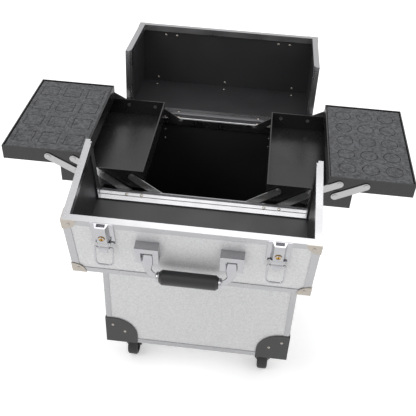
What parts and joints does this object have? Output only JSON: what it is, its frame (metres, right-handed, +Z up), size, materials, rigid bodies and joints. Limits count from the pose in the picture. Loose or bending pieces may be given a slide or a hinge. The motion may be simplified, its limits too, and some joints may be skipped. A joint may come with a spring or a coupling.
{
  "type": "rolling makeup case",
  "caption": "Open rolling makeup case with silver panels, aluminium edges, fold-out cantilever trays, split hinged lid, latches and swivel casters",
  "frame": {"origin": "centre of the body's underside, with the casters below it", "axes": "+X to the right, +Y to the back, +Z up, seen from the latch and carry handle side"},
  "size_m": [0.654, 0.5965, 0.5769],
  "materials": {
    "silver_panel": "fine hammered silver sheet",
    "aluminium_edge": "satin anodised extrusion",
    "black_lining": "smooth black lining",
    "nickel_fittings": "nickel plated steel",
    "black_covers": "moulded black plastic",
    "chrome_fittings": "bright chrome plate",
    "brass_plug": "turned brass",
    "black_tray": "moulded black plastic",
    "grey_foam": "cut foam",
    "arm_steel": "cross brushed steel bar",
    "black_grip": "moulded grip",
    "fork_steel": "black painted pressed steel",
    "wheel_rubber": "black rubber tread"
  },
  "bodies": {
    "body": {"panel_front": "silver_panel", "panel_back": "silver_panel", "side_panels": "silver_panel", "panel_floor": "silver_panel", "body_lining": "black_lining", "corner_posts": "aluminium_edge", "bottom_frame": "aluminium_edge", "body_rim": "aluminium_edge", "corner_covers_front": "black_covers", "corner_covers_rear": "black_covers", "hinge_leaves": "nickel_fittings", "telescopic_outer_tubes": "aluminium_edge", "telescopic_brackets": "nickel_fittings", "caster_plates": "nickel_fittings"},
    "front_lid": {"front_lid_frame": "aluminium_edge", "front_lid_panels": "silver_panel", "front_lid_lining": "black_lining", "front_lid_caps": "nickel_fittings", "latch_base_right": "chrome_fittings", "latch_base_left": "chrome_fittings", "handle_brackets": "chrome_fittings"},
    "rear_lid": {"rear_lid_frame": "aluminium_edge", "rear_lid_panels": "silver_panel", "rear_lid_lining": "black_lining", "rear_lid_caps": "nickel_fittings", "latch_catches": "chrome_fittings"},
    "carry_handle": {"carry_handle_arms": "chrome_fittings", "carry_handle_grip": "black_grip"},
    "pull_handle": {"telescopic_inner_tubes": "aluminium_edge", "telescopic_grip": "black_grip"},
    "pull_button": {"telescopic_button": "black_grip"},
    "latch_lever_right": {"latch_lever_right": "chrome_fittings"},
    "latch_bail_right": {"latch_bail_right": "chrome_fittings"},
    "latch_plug_right": {"latch_plug_right": "brass_plug"},
    "latch_lever_left": {"latch_lever_left": "chrome_fittings"},
    "latch_bail_left": {"latch_bail_left": "chrome_fittings"},
    "latch_plug_left": {"latch_plug_left": "brass_plug"},
    "caster_fork_fr": {"caster_fork_fr": "fork_steel"},
    "caster_wheel_fr": {"caster_wheel_fr": "wheel_rubber"},
    "caster_fork_fl": {"caster_fork_fl": "fork_steel"},
    "caster_wheel_fl": {"caster_wheel_fl": "wheel_rubber"},
    "caster_fork_rr": {"caster_fork_rr": "fork_steel"},
    "caster_wheel_rr": {"caster_wheel_rr": "wheel_rubber"},
    "caster_fork_rl": {"caster_fork_rl": "fork_steel"},
    "caster_wheel_rl": {"caster_wheel_rl": "wheel_rubber"},
    "link_lower_outer_right": {"link_lower_outer_right": "arm_steel"},
    "link_lower_inner_right": {"link_lower_inner_right": "arm_steel"},
    "link_upper_inner_right": {"link_upper_inner_right": "arm_steel"},
    "link_upper_outer_right": {"link_upper_outer_right": "arm_steel"},
    "lower_tray_right": {"lower_tray_right": "black_tray"},
    "upper_tray_right": {"upper_tray_right": "black_tray", "foam_right": "grey_foam"},
    "link_lower_outer_left": {"link_lower_outer_left": "arm_steel"},
    "link_lower_inner_left": {"link_lower_inner_left": "arm_steel"},
    "link_upper_inner_left": {"link_upper_inner_left": "arm_steel"},
    "link_upper_outer_left": {"link_upper_outer_left": "arm_steel"},
    "lower_tray_left": {"lower_tray_left": "black_tray"},
    "upper_tray_left": {"upper_tray_left": "black_tray", "foam_left": "grey_foam"}
  },
  "joints": [
    {"name": "front_lid_hinge", "type": "hinge", "parent": "body", "child": "front_lid", "pos_m": [0, -0.125, 0.3654], "axis": [-1, 0, 0], "range_deg": [0, 15]},
    {"name": "rear_lid_hinge", "type": "hinge", "parent": "body", "child": "rear_lid", "pos_m": [0, 0.125, 0.3654], "axis": [1, 0, 0], "range_deg": [0, 7]},
    {"name": "carry_handle_hinge", "type": "hinge", "parent": "front_lid", "child": "carry_handle", "pos_m": [0, -0.29479, 0.39671], "axis": [-1, 0, 0], "range_deg": [-6, 95]},
    {"name": "lever_hinge_right", "type": "hinge", "parent": "front_lid", "child": "latch_lever_right", "pos_m": [0.12, -0.29534, 0.41464], "axis": [-1, 0, 0], "range_deg": [-8, 100]},
    {"name": "bail_hinge_right", "type": "hinge", "parent": "latch_lever_right", "child": "latch_bail_right", "pos_m": [0.12, -0.29534, 0.40564], "axis": [-1, 0, 0], "range_deg": [0, 50]},
    {"name": "plug_turn_right", "type": "hinge", "parent": "front_lid", "child": "latch_plug_right", "pos_m": [0.12, -0.29422, 0.42978], "axis": [0, -0.9744, -0.225], "range_deg": [0, 90]},
    {"name": "lever_hinge_left", "type": "hinge", "parent": "front_lid", "child": "latch_lever_left", "pos_m": [-0.12, -0.29534, 0.41464], "axis": [-1, 0, 0], "range_deg": [-8, 100]},
    {"name": "bail_hinge_left", "type": "hinge", "parent": "latch_lever_left", "child": "latch_bail_left", "pos_m": [-0.12, -0.29534, 0.40564], "axis": [-1, 0, 0], "range_deg": [0, 50]},
    {"name": "plug_turn_left", "type": "hinge", "parent": "front_lid", "child": "latch_plug_left", "pos_m": [-0.12, -0.29422, 0.42978], "axis": [0, -0.9744, -0.225], "range_deg": [0, 90]},
    {"name": "pull_handle_slide", "type": "slide", "parent": "body", "child": "pull_handle", "axis": [0, 0, 1], "range_m": [0, 0.007]},
    {"name": "pull_button_press", "type": "slide", "parent": "pull_handle", "child": "pull_button", "axis": [0, 0, -1], "range_m": [0, 0.003], "stiffness_N_per_m": 400, "springref_m": -0.002},
    {"name": "caster_swivel_fr", "type": "hinge", "parent": "body", "child": "caster_fork_fr", "pos_m": [0.133, -0.089, 0], "axis": [0, 0, 1], "continuous": true},
    {"name": "wheel_spin_fr", "type": "hinge", "parent": "caster_fork_fr", "child": "caster_wheel_fr", "pos_m": [0.133, -0.073, -0.062], "axis": [1, 0, 0], "continuous": true},
    {"name": "caster_swivel_fl", "type": "hinge", "parent": "body", "child": "caster_fork_fl", "pos_m": [-0.133, -0.089, 0], "axis": [0, 0, 1], "continuous": true},
    {"name": "wheel_spin_fl", "type": "hinge", "parent": "caster_fork_fl", "child": "caster_wheel_fl", "pos_m": [-0.133, -0.073, -0.062], "axis": [1, 0, 0], "continuous": true},
    {"name": "caster_swivel_rr", "type": "hinge", "parent": "body", "child": "caster_fork_rr", "pos_m": [0.133, 0.089, 0], "axis": [0, 0, 1], "continuous": true},
    {"name": "wheel_spin_rr", "type": "hinge", "parent": "caster_fork_rr", "child": "caster_wheel_rr", "pos_m": [0.133, 0.105, -0.062], "axis": [1, 0, 0], "continuous": true},
    {"name": "caster_swivel_rl", "type": "hinge", "parent": "body", "child": "caster_fork_rl", "pos_m": [-0.133, 0.089, 0], "axis": [0, 0, 1], "continuous": true},
    {"name": "wheel_spin_rl", "type": "hinge", "parent": "caster_fork_rl", "child": "caster_wheel_rl", "pos_m": [-0.133, 0.105, -0.062], "axis": [1, 0, 0], "continuous": true},
    {"name": "lower_arm_right", "type": "hinge", "parent": "body", "child": "link_lower_outer_right", "pos_m": [0.12, 0, 0.363], "axis": [0, -1, 0], "range_deg": [0, 112]},
    {"name": "lower_tray_turn_right", "type": "hinge", "parent": "link_lower_outer_right", "child": "lower_tray_right", "pos_m": [0.16601, 0, 0.39404], "axis": [0, -1, 0], "range_deg": [-112, 0]},
    {"name": "lower_inner_arm_right", "type": "hinge", "parent": "body", "child": "link_lower_inner_right", "pos_m": [0.071, 0, 0.363], "axis": [0, -1, 0], "range_deg": [0, 112]},
    {"name": "upper_arm_right", "type": "hinge", "parent": "lower_tray_right", "child": "link_upper_inner_right", "pos_m": [0.16601, 0, 0.39404], "axis": [0, -1, 0], "range_deg": [0, 124]},
    {"name": "upper_tray_turn_right", "type": "hinge", "parent": "link_upper_inner_right", "child": "upper_tray_right", "pos_m": [0.21104, 0, 0.41798], "axis": [0, -1, 0], "range_deg": [-124, 0]},
    {"name": "upper_outer_arm_right", "type": "hinge", "parent": "lower_tray_right", "child": "link_upper_outer_right", "pos_m": [0.20701, 0, 0.39404], "axis": [0, -1, 0], "range_deg": [0, 124]},
    {"name": "lower_arm_left", "type": "hinge", "parent": "body", "child": "link_lower_outer_left", "pos_m": [-0.12, 0, 0.363], "axis": [0, 1, 0], "range_deg": [0, 112]},
    {"name": "lower_tray_turn_left", "type": "hinge", "parent": "link_lower_outer_left", "child": "lower_tray_left", "pos_m": [-0.16601, 0, 0.39404], "axis": [0, 1, 0], "range_deg": [-112, 0]},
    {"name": "lower_inner_arm_left", "type": "hinge", "parent": "body", "child": "link_lower_inner_left", "pos_m": [-0.071, 0, 0.363], "axis": [0, 1, 0], "range_deg": [0, 112]},
    {"name": "upper_arm_left", "type": "hinge", "parent": "lower_tray_left", "child": "link_upper_inner_left", "pos_m": [-0.16601, 0, 0.39404], "axis": [0, 1, 0], "range_deg": [0, 124]},
    {"name": "upper_tray_turn_left", "type": "hinge", "parent": "link_upper_inner_left", "child": "upper_tray_left", "pos_m": [-0.21104, 0, 0.41798], "axis": [0, 1, 0], "range_deg": [-124, 0]},
    {"name": "upper_outer_arm_left", "type": "hinge", "parent": "lower_tray_left", "child": "link_upper_outer_left", "pos_m": [-0.20701, 0, 0.39404], "axis": [0, 1, 0], "range_deg": [0, 124]}
  ],
  "couplings": [
    {"joint": "lower_tray_turn_right", "follows": "lower_arm_right", "ratio": -1},
    {"joint": "lower_inner_arm_right", "follows": "lower_arm_right", "ratio": 1},
    {"joint": "upper_tray_turn_right", "follows": "upper_arm_right", "ratio": -1},
    {"joint": "upper_outer_arm_right", "follows": "upper_arm_right", "ratio": 1},
    {"joint": "lower_tray_turn_left", "follows": "lower_arm_left", "ratio": -1},
    {"joint": "lower_inner_arm_left", "follows": "lower_arm_left", "ratio": 1},
    {"joint": "upper_tray_turn_left", "follows": "upper_arm_left", "ratio": -1},
    {"joint": "upper_outer_arm_left", "follows": "upper_arm_left", "ratio": 1}
  ]
}
